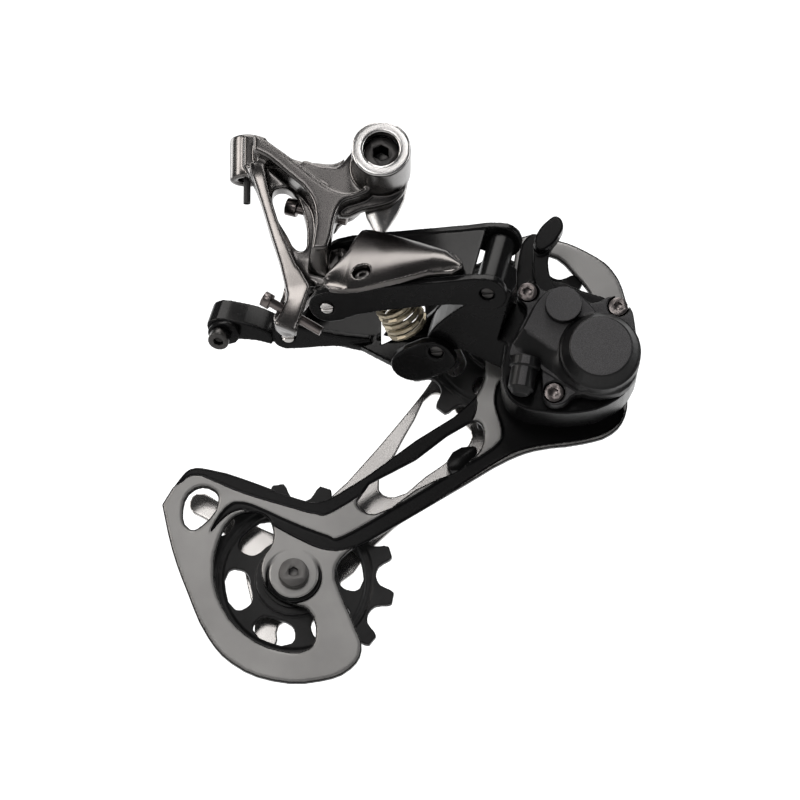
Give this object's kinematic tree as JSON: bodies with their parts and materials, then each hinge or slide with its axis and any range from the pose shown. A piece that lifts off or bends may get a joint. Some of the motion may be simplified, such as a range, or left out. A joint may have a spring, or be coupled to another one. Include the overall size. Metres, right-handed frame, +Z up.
{
  "type": "rear bicycle derailleur",
  "caption": "Long-cage rear derailleur with a slant parallelogram, clutch housing with lever, toothed guide and tension pulleys, cable stop and clamp.",
  "frame": {"origin": "on the mounting bolt's axis, at the face of the frame hanger that the derailleur is bolted to", "axes": "+X to the front of the bicycle, +Y towards the wheel along the mounting bolt, +Z up"},
  "size_m": [0.1363, 0.0641, 0.1643],
  "materials": {
    "polished_dark": "polished",
    "black_paint": "satin gloss",
    "matte_black": "matt, fine speckle",
    "grey_plate": "satin",
    "bright_steel": "polished",
    "pulley_nylon": "satin moulded",
    "spring_steel": "bronze tone",
    "screw_steel": "satin"
  },
  "bodies": {
    "axle_mount": {"mounting_bolt": "screw_steel", "axle_bushing": "bright_steel", "stopper_plate": "bright_steel", "retaining_clip": "bright_steel"},
    "bracket": {"bracket": "polished_dark", "b_tension_screw": "screw_steel", "foot_limit_screw": "screw_steel", "cable_ferrule": "matte_black", "cable_liner": "matte_black", "link_pin_a": "bright_steel", "pin_clip_a": "bright_steel", "link_pin_c": "bright_steel", "pin_clip_c": "bright_steel"},
    "outer_link": {"outer_link": "black_paint", "outer_link_cover": "polished_dark", "link_limit_screw": "screw_steel", "return_spring": "spring_steel"},
    "inner_link": {"inner_link": "black_paint", "cable_clamp_plate": "black_paint", "cable_clamp_bolt": "screw_steel"},
    "knuckle": {"knuckle_body": "black_paint", "clutch_cover": "matte_black", "cover_screw_top": "screw_steel", "cover_screw_front": "screw_steel", "cover_screw_low": "screw_steel", "clutch_cap": "matte_black", "roller_clutch": "bright_steel", "friction_band": "bright_steel", "adjuster_plug": "matte_black", "cage_stop_pin": "bright_steel", "cage_spring": "spring_steel", "link_pin_b": "bright_steel", "pin_clip_b": "bright_steel", "link_pin_d": "bright_steel", "pin_clip_d": "bright_steel"},
    "clutch_switch": {"clutch_lever": "black_paint", "clutch_cam": "bright_steel"},
    "cage": {"cage_outer_plate": "grey_plate", "cage_inner_plate": "bright_steel", "cage_axle": "screw_steel", "cage_bridge": "black_paint", "tension_pulley_bolt": "screw_steel", "guide_pulley_bolt": "screw_steel", "tension_bushing": "bright_steel", "guide_bushing": "bright_steel"},
    "guide_wheel": {"guide_pulley": "pulley_nylon", "guide_cap_outer": "black_paint", "guide_cap_inner": "black_paint"},
    "tension_wheel": {"tension_pulley": "pulley_nylon", "tension_cap_outer": "black_paint", "tension_cap_inner": "black_paint"}
  },
  "joints": [
    {"name": "axle_swing", "type": "hinge", "parent": "axle_mount", "child": "bracket", "pos_m": [0, 0, 0], "axis": [0, 1, 0], "range_deg": [0, 25]},
    {"name": "link_swing", "type": "hinge", "parent": "bracket", "child": "outer_link", "pos_m": [-0.01294, -0.00706, -0.03436], "axis": [0.1969, 0.4959, 0.8458], "range_deg": [0, 52], "stiffness_Nm_per_rad": 0.5, "springref_deg": -68.75, "deforming": ["return_spring"]},
    {"name": "inner_link_pivot", "type": "hinge", "parent": "bracket", "child": "inner_link", "pos_m": [-0.02522, 0.02029, -0.03571], "axis": [0.1969, 0.4959, 0.8458], "range_deg": [0, 52]},
    {"name": "knuckle_pivot", "type": "hinge", "parent": "outer_link", "child": "knuckle", "pos_m": [0.03246, -0.02255, -0.03585], "axis": [0.1969, 0.4959, 0.8458], "range_deg": [-52, 0]},
    {"name": "clutch_switch_turn", "type": "hinge", "parent": "knuckle", "child": "clutch_switch", "pos_m": [0.0518, -0.009, -0.0469], "axis": [0, 1, 0], "range_deg": [0, 50]},
    {"name": "cage_pivot", "type": "hinge", "parent": "knuckle", "child": "cage", "pos_m": [0.0621, 0.006, -0.0605], "axis": [0, -1, 0], "range_deg": [0, 100], "stiffness_Nm_per_rad": 0.15, "springref_deg": -91.67},
    {"name": "guide_spin", "type": "hinge", "parent": "cage", "child": "guide_wheel", "pos_m": [0.0349, 0.012, -0.0456], "axis": [0, 1, 0], "continuous": true},
    {"name": "tension_spin", "type": "hinge", "parent": "cage", "child": "tension_wheel", "pos_m": [-0.0248, 0.012, -0.119], "axis": [0, 1, 0], "continuous": true}
  ],
  "couplings": [
    {"joint": "knuckle_pivot", "follows": "link_swing", "ratio": -1},
    {"joint": "inner_link_pivot", "follows": "link_swing", "ratio": 1}
  ]
}
